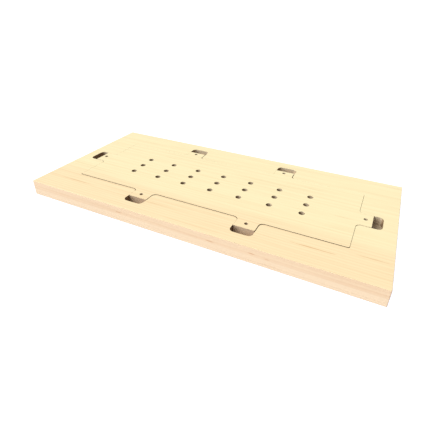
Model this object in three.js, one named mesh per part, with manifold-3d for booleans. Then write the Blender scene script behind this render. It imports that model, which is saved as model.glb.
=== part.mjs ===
// Transfer board: a long wooden slab glued up from two layers. A panel with six lugs is let into
// the upper layer, flush with the top. Each lug is held by a sunk screw in a threaded insert, and
// has a finger notch past its tip, so that the panel can be lifted out.
import * as THREE from "three";
import { mergeVertices } from "three/addons/utils/BufferGeometryUtils.js";
import Module from "manifold-3d";

const wasm = await Module();
wasm.setup();

// Lengths are in millimetres. X runs along the board, Y towards its back edge, and Z up from the
// underside. The origin is the centre of the underside.
const board = { length: 600, width: 285, cornerRadius: 1.5 };
const layerThickness = 13.5;
const topSurface = 2 * layerThickness;

// The opening for the lift-out panel, without the slots for its lugs.
const opening = { length: 486, width: 165, cornerRadius: 3 };
const openingCentre = new THREE.Vector2(-0.5, 0);

// A lug reaches out of a side of the panel, and its finger notch reaches on into the frame.
const lug = { slotWidth: 36, rootRadius: 7.5, tipRadius: 1, reach: 21.5 };
const notchCornerRadius = 7.5;
const longSide = { edge: opening.width / 2, lugPlaces: [-96, 96], notchReach: 16 };
const shortSide = { edge: opening.length / 2, lugPlaces: [0], notchReach: 15 };

// The seam's width along each side, and on the two sides of each lug. The panel lies pushed to
// the left and to the back, so the seam is wide at the front, to the right of the long sides'
// lugs, and in front of the end lugs.
const sides = [
  { ...longSide, name: "front", turn: -90, seam: 1.5, lugSeams: [0.25, 1.25] },
  { ...shortSide, name: "right", turn: 0, seam: 0.4, lugSeams: [1.25, 0.25] },
  { ...longSide, name: "back", turn: 90, seam: 0.25, lugSeams: [1.25, 0.25] },
  { ...shortSide, name: "left", turn: 180, seam: 0.25, lugSeams: [0.25, 1.25] },
];

// Plain holes through the panel and the bottom board. All drilled holes lie a little left and
// back of the opening's centre.
const drillingCentre = new THREE.Vector2(-1.6, 2.4);
const holeGrid = { columns: 7, rows: 3, columnPitch: 54.2, rowPitch: 28, diameter: 10 };

// M3 socket head cap screws, sunk in stepped holes in the lugs.
const screw = { headDiameter: 5.5, headHeight: 3, shankDiameter: 3, length: 12, tipChamfer: 0.5 };
const socket = { acrossFlats: 2.5, depth: 1.5 };
const screwHole = { fromLugTip: 9.4, sunkDepth: 7.5, headDiameter: 6.1, shankDiameter: 3.6 };

// Flanged brass inserts, pressed into stepped pockets in the bottom board.
const insert = { flangeDiameter: 7, flangeHeight: 1, bodyDiameter: 5, height: 7.5, bore: 3.6 };
const insertTop = layerThickness - 0.5;
const insertPocket = { flangeDiameter: 7.6, bodyDiameter: 5.6, floor: 5 };

const arcSegments = 3;
const holeSegments = 24;
const screwSegments = 20;
const cutterOvershoot = 2;

const finishes = {
  paleWood: { color: 0xf2dfb6, roughness: 0.62, metalness: 0 },
  warmWood: { color: 0xefd7ab, roughness: 0.62, metalness: 0 },
  blackSteel: { color: 0x2a2826, roughness: 0.42, metalness: 0.85 },
  brass: { color: 0xc8a052, roughness: 0.35, metalness: 0.9 },
};

const object = new THREE.Group();

function addPiece(name, geometry, finish) {
  const mesh = new THREE.Mesh(geometry, new THREE.MeshStandardMaterial(finishes[finish]));
  mesh.name = name;
  object.add(mesh);
}

// Solids for boolean cuts.

function solidFrom(geometry) {
  const bare = geometry.clone();
  bare.deleteAttribute("normal");
  bare.deleteAttribute("uv");
  const welded = mergeVertices(bare, 1e-5);
  return new wasm.Manifold(new wasm.Mesh({
    numProp: 3,
    vertProperties: new Float32Array(welded.attributes.position.array),
    triVerts: new Uint32Array(welded.index.array),
  }));
}

function geometryFrom(solid) {
  const mesh = solid.getMesh();
  const geometry = new THREE.BufferGeometry();
  geometry.setAttribute("position", new THREE.BufferAttribute(mesh.vertProperties, 3));
  geometry.setIndex(new THREE.BufferAttribute(mesh.triVerts, 1));
  geometry.computeVertexNormals();
  return geometry;
}

function cutFrom(geometry, cutters) {
  let solid = solidFrom(geometry);
  for (const cutter of cutters) {
    solid = solid.subtract(solidFrom(cutter));
  }
  return geometryFrom(solid);
}

// Flat outlines.

// Fills a path with straight edges between right-angled corners, each rounded to its own radius.
function drawRounded(path, corners) {
  corners.forEach((corner, i) => {
    const previous = corners.at(i - 1).point;
    const next = corners[(i + 1) % corners.length].point;
    const arriving = corner.point.clone().sub(previous).normalize();
    const leaving = next.clone().sub(corner.point).normalize();
    const start = corner.point.clone().addScaledVector(arriving, -corner.radius);
    const end = corner.point.clone().addScaledVector(leaving, corner.radius);
    const centre = start.clone().addScaledVector(leaving, corner.radius);
    const startAngle = start.clone().sub(centre).angle();
    const endAngle = end.clone().sub(centre).angle();
    const clockwise = arriving.cross(leaving) < 0;
    if (i === 0) {
      path.moveTo(start.x, start.y);
    }
    path.absarc(centre.x, centre.y, corner.radius, startAngle, endAngle, clockwise);
  });
  return path;
}

function roundHole(centre, diameter) {
  const points = [];
  for (let i = 0; i < holeSegments; i += 1) {
    const angle = (2 * Math.PI * i) / holeSegments;
    points.push(new THREE.Vector2(
      centre.x + (diameter / 2) * Math.cos(angle),
      centre.y + (diameter / 2) * Math.sin(angle),
    ));
  }
  return new THREE.Path(points);
}

// A point given by how far it lies along a side and how far out from a centre.
function pointOnSide(side, along, out, centre) {
  const unturned = new THREE.Vector2(out, along).add(centre);
  return unturned.rotateAround(centre, THREE.MathUtils.degToRad(side.turn));
}

// The corners of the opening, or of the panel when the seam is taken off. Each lug or its slot
// ends at reachOf(side) from the opening's straight edge.
function luggedCorners(seamTaken, reachOf, endRadius) {
  const corners = [];
  sides.forEach((side, i) => {
    const previous = sides.at(i - 1);
    const sideStart = seamTaken * previous.seam - previous.edge;
    const edge = side.edge - seamTaken * side.seam;
    const tip = side.edge + reachOf(side);
    const addCorner = (along, out, radius) => {
      corners.push({ point: pointOnSide(side, along, out, openingCentre), radius });
    };
    addCorner(sideStart, edge, opening.cornerRadius);
    for (const place of side.lugPlaces) {
      const near = place - lug.slotWidth / 2 + seamTaken * side.lugSeams[0];
      const far = place + lug.slotWidth / 2 - seamTaken * side.lugSeams[1];
      addCorner(near, edge, lug.rootRadius);
      addCorner(near, tip, endRadius);
      addCorner(far, tip, endRadius);
      addCorner(far, edge, lug.rootRadius);
    }
  });
  return corners;
}

function boardShape() {
  const x = board.length / 2;
  const y = board.width / 2;
  const corners = [[-x, -y], [x, -y], [x, y], [-x, y]].map(([cornerX, cornerY]) => (
    { point: new THREE.Vector2(cornerX, cornerY), radius: board.cornerRadius }
  ));
  return drawRounded(new THREE.Shape(), corners);
}

function panelShape() {
  return drawRounded(new THREE.Shape(), luggedCorners(1, () => lug.reach, lug.tipRadius));
}

function frameOpening() {
  const reachOf = (side) => lug.reach + side.notchReach;
  return drawRounded(new THREE.Path(), luggedCorners(0, reachOf, notchCornerRadius));
}

function gridHoles() {
  const holes = [];
  for (let column = 0; column < holeGrid.columns; column += 1) {
    for (let row = 0; row < holeGrid.rows; row += 1) {
      const along = (column - (holeGrid.columns - 1) / 2) * holeGrid.columnPitch;
      const across = (row - (holeGrid.rows - 1) / 2) * holeGrid.rowPitch;
      const centre = new THREE.Vector2(along, across).add(drillingCentre);
      holes.push(roundHole(centre, holeGrid.diameter));
    }
  }
  return holes;
}

function layer(shape, bottom) {
  const options = { depth: layerThickness, bevelEnabled: false, curveSegments: arcSegments };
  return new THREE.ExtrudeGeometry(shape, options).translate(0, 0, bottom);
}

// Turned shapes, from a profile of [radius, height] pairs that starts and ends on the axis or,
// for a ring, closes on itself.
function turned(profile, place) {
  const points = profile.map(([radius, height]) => new THREE.Vector2(radius, height));
  const geometry = new THREE.LatheGeometry(points, screwSegments);
  return geometry.rotateX(Math.PI / 2).translate(place.x, place.y, 0);
}

// The place of each lug's screw, with the name of its lug.
function screwPlaces() {
  const places = [];
  for (const side of sides) {
    for (const along of side.lugPlaces) {
      const out = side.edge + lug.reach - screwHole.fromLugTip;
      const centre = pointOnSide(side, along, out, drillingCentre);
      const hand = centre.x < 0 ? "left" : "right";
      const name = side.lugPlaces.length > 1 ? `${side.name}_${hand}` : `${side.name}_end`;
      places.push({ name, x: centre.x, y: centre.y });
    }
  }
  return places;
}

// The pieces.

function bottomBoard() {
  const shape = boardShape();
  shape.holes.push(...gridHoles());
  const flangeRadius = insertPocket.flangeDiameter / 2;
  const bodyRadius = insertPocket.bodyDiameter / 2;
  const ledge = insertTop - insert.flangeHeight;
  const above = layerThickness + cutterOvershoot;
  const profile = [
    [0, insertPocket.floor],
    [bodyRadius, insertPocket.floor],
    [bodyRadius, ledge],
    [flangeRadius, ledge],
    [flangeRadius, above],
    [0, above],
  ];
  return cutFrom(layer(shape, 0), screwPlaces().map((place) => turned(profile, place)));
}

function topFrame() {
  const shape = boardShape();
  shape.holes.push(frameOpening());
  return layer(shape, layerThickness);
}

function liftOutPanel() {
  const shape = panelShape();
  shape.holes.push(...gridHoles());
  const headRadius = screwHole.headDiameter / 2;
  const shankRadius = screwHole.shankDiameter / 2;
  const seat = topSurface - screwHole.sunkDepth;
  const below = layerThickness - cutterOvershoot;
  const above = topSurface + cutterOvershoot;
  const profile = [
    [0, below],
    [shankRadius, below],
    [shankRadius, seat],
    [headRadius, seat],
    [headRadius, above],
    [0, above],
  ];
  return cutFrom(layer(shape, layerThickness), screwPlaces().map((place) => turned(profile, place)));
}

function capScrew(place) {
  const seat = topSurface - screwHole.sunkDepth;
  const tip = seat - screw.length;
  const headTop = seat + screw.headHeight;
  const headRadius = screw.headDiameter / 2;
  const shankRadius = screw.shankDiameter / 2;
  const profile = [
    [0, tip],
    [shankRadius - screw.tipChamfer, tip],
    [shankRadius, tip + screw.tipChamfer],
    [shankRadius, seat],
    [headRadius, seat],
    [headRadius, headTop],
    [0, headTop],
  ];
  const hexRadius = socket.acrossFlats / Math.sqrt(3);
  const hexHeight = socket.depth + cutterOvershoot;
  const hexagon = new THREE.CylinderGeometry(hexRadius, hexRadius, hexHeight, 6).rotateX(Math.PI / 2);
  hexagon.translate(place.x, place.y, headTop - socket.depth + hexHeight / 2);
  return cutFrom(turned(profile, place), [hexagon]);
}

function threadedInsert(place) {
  const ledge = insertTop - insert.flangeHeight;
  const bottom = insertTop - insert.height;
  const profile = [
    [insert.bore / 2, bottom],
    [insert.bodyDiameter / 2, bottom],
    [insert.bodyDiameter / 2, ledge],
    [insert.flangeDiameter / 2, ledge],
    [insert.flangeDiameter / 2, insertTop],
    [insert.bore / 2, insertTop],
    [insert.bore / 2, bottom],
  ];
  return turned(profile, place);
}

addPiece("bottom_board", bottomBoard(), "warmWood");
addPiece("top_frame", topFrame(), "paleWood");
addPiece("lift_out_panel", liftOutPanel(), "paleWood");
for (const place of screwPlaces()) {
  addPiece(`screw_${place.name}`, capScrew(place), "blackSteel");
  addPiece(`insert_${place.name}`, threadedInsert(place), "brass");
}

export default object;
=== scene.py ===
import math

import bmesh
import bpy
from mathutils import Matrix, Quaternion, Vector


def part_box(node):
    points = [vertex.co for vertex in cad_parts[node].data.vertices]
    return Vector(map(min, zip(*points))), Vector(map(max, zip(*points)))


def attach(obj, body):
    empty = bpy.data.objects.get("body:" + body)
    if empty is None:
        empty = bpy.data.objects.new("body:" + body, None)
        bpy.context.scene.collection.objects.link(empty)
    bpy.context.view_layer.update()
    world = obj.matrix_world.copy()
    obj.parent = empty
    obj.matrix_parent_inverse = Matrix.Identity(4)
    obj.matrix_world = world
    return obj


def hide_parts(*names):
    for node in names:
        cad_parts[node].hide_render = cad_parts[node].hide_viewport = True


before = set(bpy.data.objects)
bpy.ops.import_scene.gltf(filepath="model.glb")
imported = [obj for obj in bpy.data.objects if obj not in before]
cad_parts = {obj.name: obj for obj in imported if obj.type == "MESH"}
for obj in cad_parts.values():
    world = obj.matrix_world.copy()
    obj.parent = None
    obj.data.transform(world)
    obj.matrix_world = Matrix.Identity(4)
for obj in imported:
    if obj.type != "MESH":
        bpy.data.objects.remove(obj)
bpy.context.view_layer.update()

# Transfer board: the wooden layers, the lift-out panel, its screws and their inserts.
# Lengths are in metres, X along the board, Y to its back edge, Z up.

mm = 0.001
hair = 0.05 * mm  # nearer than this is the same place
lugNames = ["front_left", "front_right", "right_end", "back_right", "back_left", "left_end"]
boardLow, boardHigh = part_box("bottom_board")
topLow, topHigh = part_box("top_frame")
print("frame loaded")


# Working helpers

def deselectAll():
    if bpy.context.object and bpy.context.object.mode != "OBJECT":
        bpy.ops.object.mode_set(mode="OBJECT")
    bpy.ops.object.select_all(action="DESELECT")


def makeActive(piece):
    deselectAll()
    piece.select_set(True)
    bpy.context.view_layer.objects.active = piece


def placeInMesh(piece):  # the object ends at the origin, its place in its mesh
    makeActive(piece)
    bpy.ops.object.transform_apply(location=True, rotation=True, scale=True)


def addBox(name, low, high):
    deselectAll()
    low, high = Vector(low), Vector(high)
    bpy.ops.mesh.primitive_cube_add(size=1, location=(low + high) / 2)
    piece = bpy.context.object
    piece.name = name
    piece.scale = high - low
    placeInMesh(piece)
    return piece


def addRod(name, place, radius, low, high, sides):
    deselectAll()
    bpy.ops.mesh.primitive_cylinder_add(
        vertices=sides, radius=radius, depth=high - low, location=(place[0], place[1], (low + high) / 2)
    )
    piece = bpy.context.object
    piece.name = name
    placeInMesh(piece)
    return piece


def startEdit(piece, kind):
    makeActive(piece)
    bpy.ops.object.mode_set(mode="EDIT")
    bpy.ops.mesh.select_mode(type=kind)
    bpy.ops.mesh.select_all(action="DESELECT")
    return bmesh.from_edit_mesh(piece.data)


def endEdit():
    bpy.ops.object.mode_set(mode="OBJECT")


def pick(piece, mesh, parts, wanted):  # selects what a test wants, and says how much that is
    found = 0
    for part in parts:
        chosen = bool(wanted(part))
        part.select_set(chosen)
        found += chosen
    mesh.select_flush_mode()
    bmesh.update_edit_mesh(piece.data)
    return found


def edgeMiddle(edge):
    return (edge.verts[0].co + edge.verts[1].co) / 2


def isUpright(edge):
    run = edge.verts[1].co - edge.verts[0].co
    return abs(run.z) > 0.9 * run.length


def isSharp(edge, angle=50):
    return len(edge.link_faces) == 2 and edge.calc_face_angle(0) > math.radians(angle)


def bevelEdges(piece, wanted, width, segments):
    mesh = startEdit(piece, "EDGE")
    if pick(piece, mesh, mesh.edges, wanted):
        bpy.ops.mesh.bevel(offset=width, segments=segments, affect="EDGES", clamp_overlap=False)
    endEdit()


def cut(piece, cutter, how="DIFFERENCE"):
    makeActive(piece)
    boolean = piece.modifiers.new("cut", "BOOLEAN")
    boolean.operation = how
    boolean.solver = "EXACT"
    boolean.object = cutter
    bpy.ops.object.modifier_apply(modifier=boolean.name)
    bpy.data.objects.remove(cutter)


def cleanSurface(piece):  # doubles merged, faces out
    startEdit(piece, "VERT")
    bpy.ops.mesh.select_all(action="SELECT")
    bpy.ops.mesh.remove_doubles(threshold=0.002 * mm)
    bpy.ops.mesh.normals_make_consistent(inside=False)
    endEdit()


def smoothRound(piece, angle=13):  # round walls shade smooth, flat faces stay flat and eased edges crisp
    makeActive(piece)
    bpy.ops.object.shade_smooth_by_angle(angle=math.radians(angle))
    evening = piece.modifiers.new("flatFaces", "WEIGHTED_NORMAL")
    evening.keep_sharp = True
    bpy.ops.object.modifier_apply(modifier=evening.name)


def copyPiece(piece, name, move):
    copied = piece.copy()
    copied.data = piece.data.copy()
    copied.name = name
    bpy.context.scene.collection.objects.link(copied)
    copied.location = move
    placeInMesh(copied)
    return copied


def joinPieces(pieces):
    deselectAll()
    for piece in pieces:
        piece.select_set(True)
    bpy.context.view_layer.objects.active = pieces[0]
    bpy.ops.object.join()
    return pieces[0]


def place(nodeName):  # the middle of a node in plan
    low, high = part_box(nodeName)
    return Vector(((low.x + high.x) / 2, (low.y + high.y) / 2))


def pieceName(nodeName):
    first, *rest = nodeName.split("_")
    return first + "".join(word.capitalize() for word in rest)


def finishPiece(piece, node, body, material):
    piece.data.materials.clear()
    piece.data.materials.append(material)
    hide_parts(node)
    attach(piece, body)


# Materials

def linear(hexColour):
    channels = [int(hexColour[i:i + 2], 16) / 255 for i in (1, 3, 5)]
    return [c / 12.92 if c <= 0.04045 else ((c + 0.055) / 1.055) ** 2.4 for c in channels] + [1]


def newMaterial(name):
    material = bpy.data.materials.new(name)
    material.use_nodes = True
    material.node_tree.nodes.clear()
    return material


# Inputs come by name or in order, each a value or the node or socket that feeds it.
def addNode(material, kind, inputs=(), **settings):
    node = material.node_tree.nodes.new("ShaderNode" + kind)
    for name, value in settings.items():
        setattr(node, name, value)
    for name, value in inputs.items() if isinstance(inputs, dict) else enumerate(inputs):
        if isinstance(value, bpy.types.Node):
            value = value.outputs[0]
        if isinstance(value, bpy.types.NodeSocket):
            material.node_tree.links.new(value, node.inputs[name])
        else:
            node.inputs[name].default_value = value
    return node


# Spruce, planed and sanded: pale cream, straight faint grain along the board, matt.
topWood = {
    "name": "sandedSpruceTop",
    "earlywood": "#EADBAE",
    "latewood": "#D4B484",
    "frontTint": "#FFF7F7",
    "pith": (170, -330),  # mm, where the tree's middle lay, across the board and up
    "ringPitch": 3.6,  # mm
    "ringStrength": 0.3,
    "cloudStrength": 0.2,
    "dashStrength": 0.35,
    "wander": 2.4,  # mm, slowly along the board
    "waver": 0.84,  # mm, from place to place
    "seed": 0.0,  # tells the two layers' grain apart
    # darker streaks of resin and late growth: middle, then half lengths, all in mm
    "streaks": [
        ((198, -105, 27), (42, 1.6, 6), 1.1),
        ((271, -92, 27), (34, 1.8, 6), 0.7),
        ((-229, -105, 27), (46, 1.3, 6), 0.8),
        ((-65, -107, 27), (24, 1.3, 5), 0.4),
        ((157, 60, 27), (24, 1.2, 5), 0.5),
        ((221, -8, 27), (22, 1.2, 5), 0.5),
        ((-131, 58, 27), (28, 1.2, 5), 0.4),
        ((20, -133, 27), (70, 1.4, 5), 0.35),
        ((-107, -142.5, 16.6), (8, 3, 1.1), 0.8),
        ((58, -142.5, 16), (8, 3, 1.2), 1.3),
        ((123, -142.5, 17), (7, 3, 1.1), 1.1),
        ((146, -142.5, 15), (6, 3, 1), 0.7),
    ],
}
bottomWood = {
    "name": "sandedSpruceBottom",
    "earlywood": "#ECDEB5",
    "latewood": "#D8BC90",
    "frontTint": "#FFF9F6",
    "pith": (90, 260),
    "ringPitch": 3.2,
    "ringStrength": 0.26,
    "cloudStrength": 0.14,
    "dashStrength": 0.25,
    "wander": 2.0,
    "waver": 0.7,
    "seed": 41.0,
    "streaks": [
        ((150, -142.5, 6), (20, 4, 1), 0.4),
        ((-40, -142.5, 8), (26, 4, 1), 0.3),
    ],
}
# Noise drawn out along the fibres: its length and width in mm, its detail, and where it starts.
fibreNoise = {
    "wander": (520, 90, 2, 0),
    "waver": (120, 10, 2, 7),
    "cloud": (210, 7, 3, 31),
    "fibre": (34, 0.8, 3, 11),
    "dash": (90, 1.6, 2, 43),
    "ragged": (12, 1.2, 2, 3),
    "warmth": (300, 40, 2, 19),
    "furrow": (24, 0.55, 2, 5),
    "gloss": (60, 4, 2, 23),
}
# How the wood's colour is tinted, and where, in mm: end grain darker, and painted light and shade on
# upright faces and inside the cuts.
spruceTintsAndShade = {
    "uprightBounceTint": "#FBF4FB",  # painted light: upright faces are tinted rosier, standing in for the floor's bounce light
    "endTint": "#E6D2B8",  # end grain is darker still
    "insideLength": 296,  # a wall nearer the middle than this is one that the cutter left inside the board
    "insideWidth": 139,
    "recessWallShadeTint": "#F0F4FF",  # painted shade: such walls are tinted greyer
    "recessEndShadeTint": "#B0ACB0",  # painted shade, darker still where such walls face along the board
    # painted shade on the floors inside the board, at this height
    "floorHeight": 13.5,
    "recessFloorShadeTint": "#CEC7CC",
    "longSeam": -81.7,
    "seamWallShadeTint": "#A89C90",  # painted shade: the long seam's walls are darkened
}
soft = {"interpolation_type": "SMOOTHSTEP"}  # a range that eases in and out
relief = {"rings": 0.6, "furrows": 0.5, "strength": 0.3, "depth": 0.05 * mm}  # what a fingertip would feel


def fibrePatterns(wood, look, inMm):
    noise = {}
    for name, (along, across, detail, start) in fibreNoise.items():
        drawn = addNode(wood, "Mapping", {
            "Vector": inMm,
            "Location": (look["seed"] + start,) * 3,
            "Scale": (1 / along, 1 / across, 1 / across),
        })
        noise[name] = addNode(wood, "TexNoise", {"Vector": drawn, "Scale": 1.0, "Detail": detail})
    return noise


# Growth rings about the pith, hardly wandering along the board.
def growthRings(wood, look, inMm, noise):
    pithAcross, pithUp = look["pith"]
    fromPith = addNode(
        wood, "VectorMath", [inMm, (0, 1, 1), (0, -pithAcross, -pithUp)], operation="MULTIPLY_ADD"
    )
    radius = addNode(wood, "VectorMath", [fromPith], operation="LENGTH").outputs["Value"]
    radius = addNode(wood, "Math", [radius, (look["wander"] + look["waver"]) / 2], operation="SUBTRACT")
    for name in ("wander", "waver"):
        radius = addNode(wood, "Math", [noise[name], look[name], radius], operation="MULTIPLY_ADD")
    rings = addNode(wood, "Math", [radius, look["ringPitch"]], operation="DIVIDE")
    # each year darkens slowly and ends in a thin dense line, and years are strong or weak
    ringPart = addNode(wood, "Math", [rings], operation="FRACT")
    darkening = addNode(wood, "MapRange", [ringPart, 0.3, 0.9], **soft)
    ending = addNode(wood, "MapRange", [ringPart, 1.0, 0.93], **soft)
    year = addNode(wood, "Math", [rings], operation="FLOOR")
    year = addNode(wood, "Math", [year, 0.37], operation="MULTIPLY")
    year = addNode(wood, "TexNoise", {"W": year, "Scale": 1.0, "Detail": 1.0}, noise_dimensions="1D")
    yearStrength = addNode(wood, "MapRange", [year, 0.3, 0.7, 0.2, 1.0], **soft)
    # the grain shows more on the front strip than in the middle of the board
    spot = addNode(wood, "SeparateXYZ", [inMm]).outputs
    frontStrength = addNode(wood, "MapRange", [spot["Y"], -40.0, -90.0, 0.5, 1.0], **soft)
    ringShade = darkening
    for part in (ending, yearStrength, frontStrength, look["ringStrength"]):
        ringShade = addNode(wood, "Math", [ringShade, part], operation="MULTIPLY")
    return ringShade


# Rings, clouds and dashes of darker wood drawn out along the board, fine fibres and resin streaks.
def grainColour(wood, look, inMm, noise, ringShade):
    shade = addNode(wood, "Math", [noise["fibre"], 0.16, -0.08], operation="MULTIPLY_ADD")
    cloud = addNode(wood, "MapRange", [noise["cloud"], 0.42, 0.75, 0.0, look["cloudStrength"]], **soft)
    dash = addNode(wood, "MapRange", [noise["dash"], 0.56, 0.8, 0.0, look["dashStrength"]], **soft)
    for part in (ringShade, cloud, dash):
        shade = addNode(wood, "Math", [shade, part], operation="ADD")
    ragged = addNode(wood, "Math", [noise["ragged"], 0.9, -0.45], operation="MULTIPLY_ADD")
    for middle, halves, strength in look["streaks"]:
        away = addNode(wood, "VectorMath", [inMm, middle], operation="SUBTRACT")
        away = addNode(wood, "VectorMath", [away, halves], operation="DIVIDE")
        away = addNode(wood, "VectorMath", [away], operation="LENGTH").outputs["Value"]
        away = addNode(wood, "Math", [away, ragged], operation="ADD")
        streak = addNode(wood, "MapRange", [away, 1.0, 0.2, 0.0, strength], **soft)
        shade = addNode(wood, "Math", [shade, streak], operation="ADD")
    shade = addNode(wood, "Clamp", [shade])
    return addNode(
        wood, "Mix", {0: shade, 6: linear(look["earlywood"]), 7: linear(look["latewood"])}, data_type="RGBA"
    ).outputs[2]


# The grain's colour, tinted on the front strip and end grain, with painted bounce light on upright faces
# and painted shade on walls and floors inside the board.
def tintedAndShadedColour(wood, look, inMm, noise, colour):
    spot = addNode(wood, "SeparateXYZ", [inMm]).outputs
    warm = addNode(wood, "Math", [noise["warmth"], 14.0, spot["Y"]], operation="MULTIPLY_ADD")
    warm = addNode(wood, "MapRange", [warm, -39.0, -75.0], **soft)  # the front strip, with an uneven border
    normal = addNode(wood, "NewGeometry").outputs["True Normal"]
    facing = addNode(wood, "VectorMath", [normal], operation="ABSOLUTE")
    facing = addNode(wood, "SeparateXYZ", [facing]).outputs
    upright = addNode(wood, "MapRange", [facing["Z"], 0.8, 0.3], **soft)
    level = addNode(wood, "MapRange", [facing["Z"], 0.3, 0.8], **soft)
    endGrain = addNode(wood, "MapRange", [facing["X"], 0.4, 0.95], **soft)
    fromMiddle = addNode(wood, "VectorMath", [inMm], operation="ABSOLUTE")
    fromMiddle = addNode(wood, "SeparateXYZ", [fromMiddle]).outputs
    inLength = addNode(wood, "Math", [fromMiddle["X"], spruceTintsAndShade["insideLength"]], operation="LESS_THAN")
    inWidth = addNode(wood, "Math", [fromMiddle["Y"], spruceTintsAndShade["insideWidth"]], operation="LESS_THAN")
    inward = addNode(wood, "Math", [inLength, inWidth], operation="MULTIPLY")
    shadedPlaces = (0, spruceTintsAndShade["longSeam"], spruceTintsAndShade["floorHeight"])
    fromPlaces = addNode(wood, "VectorMath", [inMm, shadedPlaces], operation="SUBTRACT")
    fromPlaces = addNode(wood, "VectorMath", [fromPlaces], operation="ABSOLUTE")
    fromPlaces = addNode(wood, "SeparateXYZ", [fromPlaces]).outputs
    atSeam = addNode(wood, "MapRange", [fromPlaces["Y"], 4.0, 3.0], **soft)
    atFloor = addNode(wood, "MapRange", [fromPlaces["Z"], 0.2, 0.1], **soft)
    for (amount, *masks), tint in (
        ((warm,), look["frontTint"]),
        # painted light: rosier upright faces stand in for the floor's bounce light
        ((upright,), spruceTintsAndShade["uprightBounceTint"]),
        ((endGrain,), spruceTintsAndShade["endTint"]),
        # painted shade: greyer upright walls inside the board
        ((inward, upright), spruceTintsAndShade["recessWallShadeTint"]),
        # painted shade: darker walls inside the board that face along it
        ((inward, endGrain), spruceTintsAndShade["recessEndShadeTint"]),
        # painted shade: darker floors inside the board
        ((inward, level, atFloor), spruceTintsAndShade["recessFloorShadeTint"]),
        # painted shade: darker walls beside the long seam
        ((inward, upright, atSeam), spruceTintsAndShade["seamWallShadeTint"]),
    ):
        for mask in masks:
            amount = addNode(wood, "Math", [amount, mask], operation="MULTIPLY")
        colour = addNode(
            wood, "Mix", {0: amount, 6: colour, 7: linear(tint)}, data_type="RGBA", blend_type="MULTIPLY"
        ).outputs[2]
    return colour


def spruce(look):
    wood = newMaterial(look["name"])
    coords = addNode(wood, "TexCoord").outputs["Object"]
    inMm = addNode(wood, "Mapping", {"Vector": coords, "Scale": (1000, 1000, 1000)})
    noise = fibrePatterns(wood, look, inMm)
    ringShade = growthRings(wood, look, inMm, noise)
    colour = tintedAndShadedColour(wood, look, inMm, noise, grainColour(wood, look, inMm, noise, ringShade))
    # latewood stands a few hundredths proud, and sanded fibres leave fine furrows
    furrow = addNode(wood, "Math", [noise["furrow"], relief["furrows"]], operation="MULTIPLY")
    height = addNode(wood, "Math", [ringShade, relief["rings"], furrow], operation="MULTIPLY_ADD")
    bump = addNode(wood, "Bump", {
        "Height": height, "Strength": relief["strength"], "Distance": relief["depth"],
    })
    rough = addNode(wood, "MapRange", [noise["gloss"], 0.2, 0.8, 0.52, 0.7], **soft)
    surface = addNode(wood, "BsdfPrincipled", {
        "Base Color": colour, "Roughness": rough, "Normal": bump, "IOR": 1.5, "Specular IOR Level": 0.2,
    })
    addNode(wood, "OutputMaterial", [surface])
    return wood


# Black oxide on a steel cap screw: near black, satin, a little uneven where it was dipped.
blackOxide = {
    "name": "blackOxideSteel",
    "colours": ("#262423", "#3A3735"),
    "blotch": 1.1 * mm,
    "detail": 3.0,
    "roughness": (0.34, 0.52),
    "metallic": 0.9,
}
# Free-cutting brass, turned on a lathe: warm yellow metal, bright, with a faint grain.
turnedBrass = {
    "name": "turnedBrass",
    "colours": ("#C7A35A", "#D8B66E"),
    "blotch": 0.7 * mm,
    "detail": 2.0,
    "roughness": (0.24, 0.38),
    "metallic": 1.0,
}


def blotchedMetal(look):
    metal = newMaterial(look["name"])
    coords = addNode(metal, "TexCoord").outputs["Object"]
    blotch = addNode(metal, "TexNoise", {
        "Vector": coords, "Scale": 1 / look["blotch"], "Detail": look["detail"],
    })
    dark, light = look["colours"]
    tone = addNode(
        metal, "Mix", {0: blotch, 6: linear(dark), 7: linear(light)}, data_type="RGBA"
    ).outputs[2]
    low, high = look["roughness"]
    rough = addNode(metal, "MapRange", {"Value": blotch, "To Min": low, "To Max": high})
    surface = addNode(metal, "BsdfPrincipled", {
        "Base Color": tone, "Roughness": rough, "Metallic": look["metallic"],
    })
    addNode(metal, "OutputMaterial", [surface])
    return metal


topSpruce = spruce(topWood)
bottomSpruce = spruce(bottomWood)
steelFinish = blotchedMetal(blackOxide)
brassFinish = blotchedMetal(turnedBrass)
print("materials made")


# The wooden pieces

board = {"cornerRadius": 1.5 * mm, "arris": 0.5 * mm, "holeRim": 0.1 * mm, "seamRim": 0.15 * mm}
opening = {
    "halfLength": 243 * mm,
    "halfWidth": 82.5 * mm,
    "cornerRadius": 3 * mm,
    "lugHalfWidth": 18 * mm,
    "longLugTip": 104 * mm,  # how far the lugs reach from the middle, on the long sides and at the ends
    "endLugTip": 264.5 * mm,
    "rootRadius": 7.5 * mm,
    "tipRadius": 1 * mm,
    "longNotchReach": 16 * mm,  # and the notches past them
    "endNotchReach": 15 * mm,
    "notchRadius": 7.5 * mm,
}
# the panel lies pushed to the left and the back of its opening, so its seam differs from side to side
seam = {
    "left": 0.06 * mm,
    "right": 0.4 * mm,
    "front": 1.6 * mm,
    "back": 0.1 * mm,
    "lugLeft": 0.06 * mm,
    "lugRight": 1.25 * mm,
    "lugFront": 1.25 * mm,
    "lugBack": 0.08 * mm,
}
gridHoles = {"columns": 7, "rows": 3, "columnPitch": 54.2 * mm, "rowPitch": 28 * mm, "radius": 5 * mm}
lugAlong = (place("screw_front_right").x - place("screw_front_left").x) / 2
openingCentre = Vector((*place("lift_out_panel"), 0))
drillingCentre = Vector((*(place("screw_left_end") + place("screw_right_end")) / 2, 0))
overshoot = 2 * mm


def near(value, target):
    return abs(value - target) < hair


def slabLayer(name, low, high):
    layer = addBox(name, low, high)
    bevelEdges(layer, isUpright, board["cornerRadius"], 5)
    return layer


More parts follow.
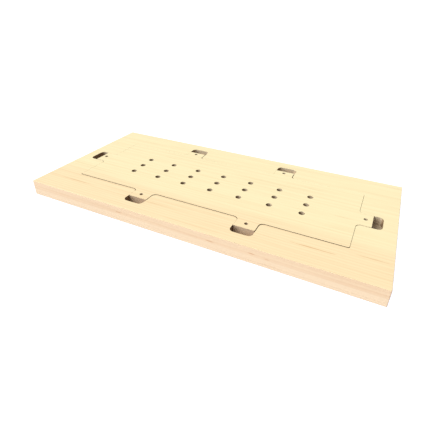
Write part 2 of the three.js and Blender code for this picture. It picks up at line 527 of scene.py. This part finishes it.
# The opening's four sides, and the two sides of each lug, less the seam that is left around it.
def luggedSides(taken):
    halfLug = opening["lugHalfWidth"]
    return {
        "left": taken["left"] - opening["halfLength"],
        "right": opening["halfLength"] - taken["right"],
        "front": taken["front"] - opening["halfWidth"],
        "back": opening["halfWidth"] - taken["back"],
        "lugXs": [
            (middle - halfLug + taken["lugLeft"], middle + halfLug - taken["lugRight"])
            for middle in (-lugAlong, lugAlong)
        ],
        "lugYs": [(taken["lugFront"] - halfLug, halfLug - taken["lugBack"])],
    }


def sliceAtLugs(block, sides):
    startEdit(block, "FACE")
    for axis, lugs in ((Vector((1, 0, 0)), sides["lugXs"]), (Vector((0, 1, 0)), sides["lugYs"])):
        for side in (side for lug in lugs for side in lug):
            bpy.ops.mesh.select_all(action="SELECT")
            bpy.ops.mesh.bisect(plane_co=axis * side, plane_no=axis)
    endEdit()


def runOutLugs(block, out, lugs, length):
    def isLugRoot(face):
        middle = face.calc_center_median()
        along = middle.x if out.y else middle.y
        return face.normal.dot(out) > 0.9 and any(start < along < end for start, end in lugs)

    mesh = startEdit(block, "FACE")
    pick(block, mesh, mesh.faces, isLugRoot)
    bpy.ops.mesh.extrude_region_move(TRANSFORM_OT_translate={"value": out * length})
    endEdit()


def roundCorners(block, sides, longTip, endTip, tipRadius):
    def onLongSide(spot):
        return near(spot.y, sides["front"]) or near(spot.y, sides["back"])

    def onEnd(spot):
        return near(spot.x, sides["left"]) or near(spot.x, sides["right"])

    def atLug(value, lugs):
        return any(near(value, side) for lug in lugs for side in lug)

    def isOuterCorner(edge):
        spot = edgeMiddle(edge)
        return isUpright(edge) and onLongSide(spot) and onEnd(spot)

    def isLugRoot(edge):
        spot = edgeMiddle(edge)
        onLongRoot = onLongSide(spot) and atLug(spot.x, sides["lugXs"])
        onEndRoot = onEnd(spot) and atLug(spot.y, sides["lugYs"])
        return isUpright(edge) and (onLongRoot or onEndRoot)

    def isTip(edge):
        spot = edgeMiddle(edge)
        return isUpright(edge) and (near(abs(spot.y), longTip) or near(abs(spot.x), endTip))

    bevelEdges(block, isTip, tipRadius, 8)
    bevelEdges(block, isLugRoot, opening["rootRadius"], 8)
    bevelEdges(block, isOuterCorner, opening["cornerRadius"], 8)


# The opening's shape less a seam, with each lug, or each slot and notch, run out to its tip.
def luggedBlock(name, taken, low, high, longTip, endTip, tipRadius):
    sides = luggedSides(taken)
    block = addBox(name, (sides["left"], sides["front"], low), (sides["right"], sides["back"], high))
    sliceAtLugs(block, sides)
    runOutLugs(block, Vector((0, -1, 0)), sides["lugXs"], longTip + sides["front"])
    runOutLugs(block, Vector((0, 1, 0)), sides["lugXs"], longTip - sides["back"])
    runOutLugs(block, Vector((-1, 0, 0)), sides["lugYs"], endTip + sides["left"])
    runOutLugs(block, Vector((1, 0, 0)), sides["lugYs"], endTip - sides["right"])
    roundCorners(block, sides, longTip, endTip, tipRadius)
    cleanSurface(block)
    block.location = openingCentre
    placeInMesh(block)
    return block


def gridCutter(low, high):
    first = drillingCentre - Vector((
        (gridHoles["columns"] - 1) / 2 * gridHoles["columnPitch"],
        (gridHoles["rows"] - 1) / 2 * gridHoles["rowPitch"],
        0,
    ))
    drill = addRod("gridDrill", first, gridHoles["radius"], low, high, 48)
    for name, count, step in (
        ("columns", gridHoles["columns"], (gridHoles["columnPitch"], 0, 0)),
        ("rows", gridHoles["rows"], (0, gridHoles["rowPitch"], 0)),
    ):
        array = drill.modifiers.new(name, "ARRAY")
        array.count = count
        array.use_relative_offset = False
        array.use_constant_offset = True
        array.constant_offset_displace = step
        makeActive(drill)
        bpy.ops.object.modifier_apply(modifier=array.name)
    return drill


# A stepped drill at every lug: the wide part from the step up, the narrow part below it.
def steppedDrills(wideRadius, narrowRadius, low, step, high):
    drills = []
    for lug in lugNames:
        drill = addRod("drill", place("screw_" + lug), wideRadius, step, high, 32)
        mesh = startEdit(drill, "FACE")
        pick(drill, mesh, mesh.faces, lambda face: face.normal.z < -0.9)
        bpy.ops.mesh.inset(thickness=wideRadius - narrowRadius)
        bpy.ops.mesh.extrude_region_move(TRANSFORM_OT_translate={"value": (0, 0, low - step)})
        endEdit()
        drills.append(drill)
    return joinPieces(drills)


def onOutside(edge):
    middle = edgeMiddle(edge)
    inner = boardHigh - Vector((board["cornerRadius"], board["cornerRadius"], 0))
    return abs(middle.x) > inner.x or abs(middle.y) > inner.y


def lieAt(edge, height):
    return near(edge.verts[0].co.z, height) and near(edge.verts[1].co.z, height)


# the stepped pocket that takes an insert
pocket = {"flangeRadius": 3.6 * mm, "bodyRadius": 2.6 * mm, "ledge": 12 * mm, "floor": 5 * mm}


def makeBottomBoard():
    piece = slabLayer("bottomBoard", boardLow, boardHigh)
    cut(piece, gridCutter(boardLow.z - overshoot, boardHigh.z + overshoot))
    cut(piece, steppedDrills(
        pocket["flangeRadius"], pocket["bodyRadius"],
        pocket["floor"], pocket["ledge"], boardHigh.z + overshoot,
    ))
    cleanSurface(piece)
    bottom, top = boardLow.z, boardHigh.z
    bevelEdges(piece, lambda e: isSharp(e) and lieAt(e, bottom) and onOutside(e), board["arris"], 3)
    bevelEdges(
        piece,
        lambda e: isSharp(e, 70) and (lieAt(e, bottom) or lieAt(e, top)) and not onOutside(e),
        board["holeRim"], 2,
    )
    smoothRound(piece)
    finishPiece(piece, "bottom_board", "slab", bottomSpruce)


def makeTopFrame():
    piece = slabLayer("topFrame", topLow, topHigh)
    cut(piece, luggedBlock(
        "openingCutter", dict.fromkeys(seam, 0), topLow.z - overshoot, topHigh.z + overshoot,
        opening["longLugTip"] + opening["longNotchReach"], opening["endLugTip"] + opening["endNotchReach"],
        opening["notchRadius"],
    ))
    cleanSurface(piece)
    top = topHigh.z
    bevelEdges(piece, lambda e: isSharp(e) and lieAt(e, top) and onOutside(e), board["arris"], 3)
    bevelEdges(piece, lambda e: isSharp(e, 70) and lieAt(e, top) and not onOutside(e), board["seamRim"], 2)
    smoothRound(piece)
    finishPiece(piece, "top_frame", "slab", topSpruce)


# the stepped hole that takes a screw, its head on the seat
lugHole = {"headRadius": 3.05 * mm, "shankRadius": 1.8 * mm, "seat": 19.5 * mm}


def makeLiftOutPanel():
    piece = luggedBlock(
        "liftOutPanel", seam, topLow.z, topHigh.z,
        opening["longLugTip"], opening["endLugTip"], opening["tipRadius"],
    )
    cut(piece, gridCutter(topLow.z - overshoot, topHigh.z + overshoot))
    cut(piece, steppedDrills(
        lugHole["headRadius"], lugHole["shankRadius"],
        topLow.z - overshoot, lugHole["seat"], topHigh.z + overshoot,
    ))
    cleanSurface(piece)
    bottom, top = topLow.z, topHigh.z
    bevelEdges(piece, lambda e: isSharp(e, 70) and (lieAt(e, bottom) or lieAt(e, top)), board["seamRim"], 2)
    smoothRound(piece)
    finishPiece(piece, "lift_out_panel", "panel", topSpruce)


makeBottomBoard()
makeTopFrame()
makeLiftOutPanel()
print("wooden pieces made")


# Screws and inserts

screw = {
    "headRadius": 2.75 * mm,
    "knurlDepth": 0.1 * mm,
    "knurls": 36,
    "headEdge": 0.25 * mm,
    "socketFlats": 2.5 * mm,
    "socketDepth": 1.5 * mm,
    "headHeight": 2.95 * mm,  # a hair less than 3, so that it lies clear of its seat
    "threadTop": 1.48 * mm,
    "threadRoot": 1.2 * mm,
    "threadPitch": 0.5 * mm,
    "threadTurns": 26,  # the last two inside the head
    "turnSteps": 20,
}
insert = {
    "flangeRadius": 3.5 * mm,
    "flangeHeight": 1 * mm,
    "bodyRadius": 2.5 * mm,
    "boreRadius": 1.6 * mm,
    "slotWidth": 0.8 * mm,
    "slotDepth": 0.5 * mm,
    "arris": 0.08 * mm,
}


def knurledHead(bottom, top):
    head = addRod("head", (0, 0), screw["headRadius"], bottom, top, 2 * screw["knurls"])
    mesh = startEdit(head, "VERT")
    step = math.pi / screw["knurls"]

    def isFurrow(vert):
        return round(math.atan2(vert.co.y, vert.co.x) / step) % 2 == 0

    pick(head, mesh, mesh.verts, isFurrow)
    shrink = 1 - screw["knurlDepth"] / screw["headRadius"]
    bpy.ops.transform.resize(value=(shrink, shrink, 1), center_override=(0, 0, 0))
    endEdit()
    bevelEdges(head, lambda e: isSharp(e) and lieAt(e, top), screw["headEdge"], 3)
    hexRadius = screw["socketFlats"] / math.sqrt(3)
    cut(head, addRod("socket", (0, 0), hexRadius, top - screw["socketDepth"], top + overshoot, 6))
    return head


# One turn of the thread's outline, wound up the shank by the screw modifier and closed at both ends.
def threadedShank(bottom):
    deselectAll()
    pitch, turns = screw["threadPitch"], screw["threadTurns"]
    crest, root = screw["threadTop"], screw["threadRoot"]
    # radius, and height in pitches
    outline = [(root, 0), (root, 0.12), (crest, 0.44), (crest, 0.56), (root, 0.88), (root, 1)]
    points = [Vector((radius, 0, bottom + height * pitch)) for radius, height in outline]
    bpy.ops.mesh.primitive_plane_add(size=mm, location=points[0])
    shank = bpy.context.object
    shank.name = "shank"
    placeInMesh(shank)
    startEdit(shank, "VERT")
    bpy.ops.mesh.select_all(action="SELECT")
    bpy.ops.mesh.merge(type="CENTER")
    for start, end in zip(points, points[1:]):
        bpy.ops.mesh.extrude_vertices_move(TRANSFORM_OT_translate={"value": end - start})
    endEdit()
    winding = shank.modifiers.new("thread", "SCREW")
    winding.axis = "Z"
    winding.screw_offset = pitch
    winding.steps = screw["turnSteps"]
    winding.render_steps = screw["turnSteps"]
    winding.iterations = turns - 1
    winding.use_merge_vertices = True
    winding.merge_threshold = 0.001 * mm
    makeActive(shank)
    bpy.ops.object.modifier_apply(modifier=winding.name)
    cleanSurface(shank)
    for end in (bottom, bottom + turns * pitch):
        mesh = startEdit(shank, "EDGE")
        pick(shank, mesh, mesh.edges, lambda e: e.is_boundary and abs(edgeMiddle(e).z - end) < 1.1 * pitch)
        bpy.ops.mesh.fill()
        endEdit()
    cleanSurface(shank)
    return shank


def makeScrews():
    low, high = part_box("screw_front_left")
    seat = high.z - screw["headHeight"]
    model = knurledHead(seat, high.z)
    cut(model, threadedShank(low.z), "UNION")
    cleanSurface(model)
    smoothRound(model, 25)
    for lug in lugNames:
        middle = place("screw_" + lug)
        piece = copyPiece(model, pieceName("screw_" + lug), (middle.x, middle.y, 0))
        finishPiece(piece, "screw_" + lug, lug + "_screw", steelFinish)
    bpy.data.objects.remove(model)


def makeInserts():
    low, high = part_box("insert_front_left")
    ledge = high.z - insert["flangeHeight"]
    model = addRod("insert", (0, 0), insert["flangeRadius"], ledge, high.z, 40)
    mesh = startEdit(model, "FACE")
    pick(model, mesh, mesh.faces, lambda face: face.normal.z < -0.9)
    bpy.ops.mesh.inset(thickness=insert["flangeRadius"] - insert["bodyRadius"])
    bpy.ops.mesh.extrude_region_move(TRANSFORM_OT_translate={"value": (0, 0, low.z - ledge)})
    endEdit()
    cut(model, addRod("bore", (0, 0), insert["boreRadius"], low.z - overshoot, high.z + overshoot, 32))
    cut(model, addBox(
        "slot",
        (-insert["flangeRadius"] * 2, -insert["slotWidth"] / 2, high.z - insert["slotDepth"]),
        (insert["flangeRadius"] * 2, insert["slotWidth"] / 2, high.z + overshoot),
    ))
    cleanSurface(model)
    bevelEdges(model, lambda e: isSharp(e, 60), insert["arris"], 2)
    smoothRound(model, 25)
    for lug in lugNames:
        middle = place("insert_" + lug)
        piece = copyPiece(model, pieceName("insert_" + lug), (middle.x, middle.y, 0))
        finishPiece(piece, "insert_" + lug, "slab", brassFinish)
    bpy.data.objects.remove(model)


makeScrews()
makeInserts()
print("screws and inserts made")


# Floor, light and camera

stage = {
    "floorSize": 60,
    "floorColour": "#6E6D6B",
    "floorGlow": 1.2,
    "floorGlowColour": "#EEF0FF",
    "skyColour": "#F2F6FF",
    "sky": 0.5,
    "keyStrength": 4.35,
    "keyAngle": 60,
    "keyFrom": Vector((-0.95, -0.30, 0.75)),
}
view = {
    "place": Vector((0.24996, -0.50893, 0.33166)),
    "aim": Vector((0.01665, -0.02242, 0.02625)),
    "roll": 0.911,
    "lens": 29.32,
    "shiftY": -0.0641,
}


def makeFloor():
    deselectAll()
    bpy.ops.mesh.primitive_plane_add(size=stage["floorSize"], location=(0, 0, boardLow.z - hair))
    floor = bpy.context.object
    floor.name = "studioFloor"
    placeInMesh(floor)
    paint = newMaterial("paleStudioFloor")  # matt white paint, lit until it shows no shade of its own
    surface = addNode(paint, "BsdfPrincipled", {
        "Base Color": linear(stage["floorColour"]), "Roughness": 0.9, "Specular IOR Level": 0.1,
        "Emission Color": linear(stage["floorGlowColour"]), "Emission Strength": stage["floorGlow"],
    })
    addNode(paint, "OutputMaterial", [surface])
    floor.data.materials.append(paint)


def makeLight():
    world = bpy.data.worlds.new("studioSky")
    world.use_nodes = True
    world.node_tree.nodes.clear()
    bpy.context.scene.world = world
    sky = addNode(world, "Background", {"Color": linear(stage["skyColour"]), "Strength": stage["sky"]})
    backdrop = addNode(world, "Background", {"Color": (1, 1, 1, 1)})
    seen = addNode(world, "LightPath").outputs["Is Camera Ray"]  # past the floor all is plain white
    either = addNode(world, "MixShader", [seen, sky, backdrop])
    addNode(world, "OutputWorld", [either])
    deselectAll()
    bpy.ops.object.light_add(type="SUN", location=stage["keyFrom"])
    key = bpy.context.object
    key.name = "keyLight"
    key.data.energy = stage["keyStrength"]
    key.data.angle = math.radians(stage["keyAngle"])
    key.rotation_mode = "QUATERNION"
    key.rotation_quaternion = (-stage["keyFrom"]).to_track_quat("-Z", "Y")


def makeCamera():
    deselectAll()
    bpy.ops.object.camera_add(location=view["place"])
    camera = bpy.context.object
    camera.rotation_mode = "QUATERNION"
    aim = (view["aim"] - view["place"]).to_track_quat("-Z", "Y")
    camera.rotation_quaternion = aim @ Quaternion((0, 0, 1), math.radians(view["roll"]))
    camera.data.lens = view["lens"]
    camera.data.shift_y = view["shiftY"]
    camera.data.clip_start = 0.01
    camera.data.clip_end = 200
    bpy.context.scene.camera = camera


makeFloor()
makeLight()
makeCamera()
bpy.context.scene.view_settings.view_transform = "Standard"
print("stage set")
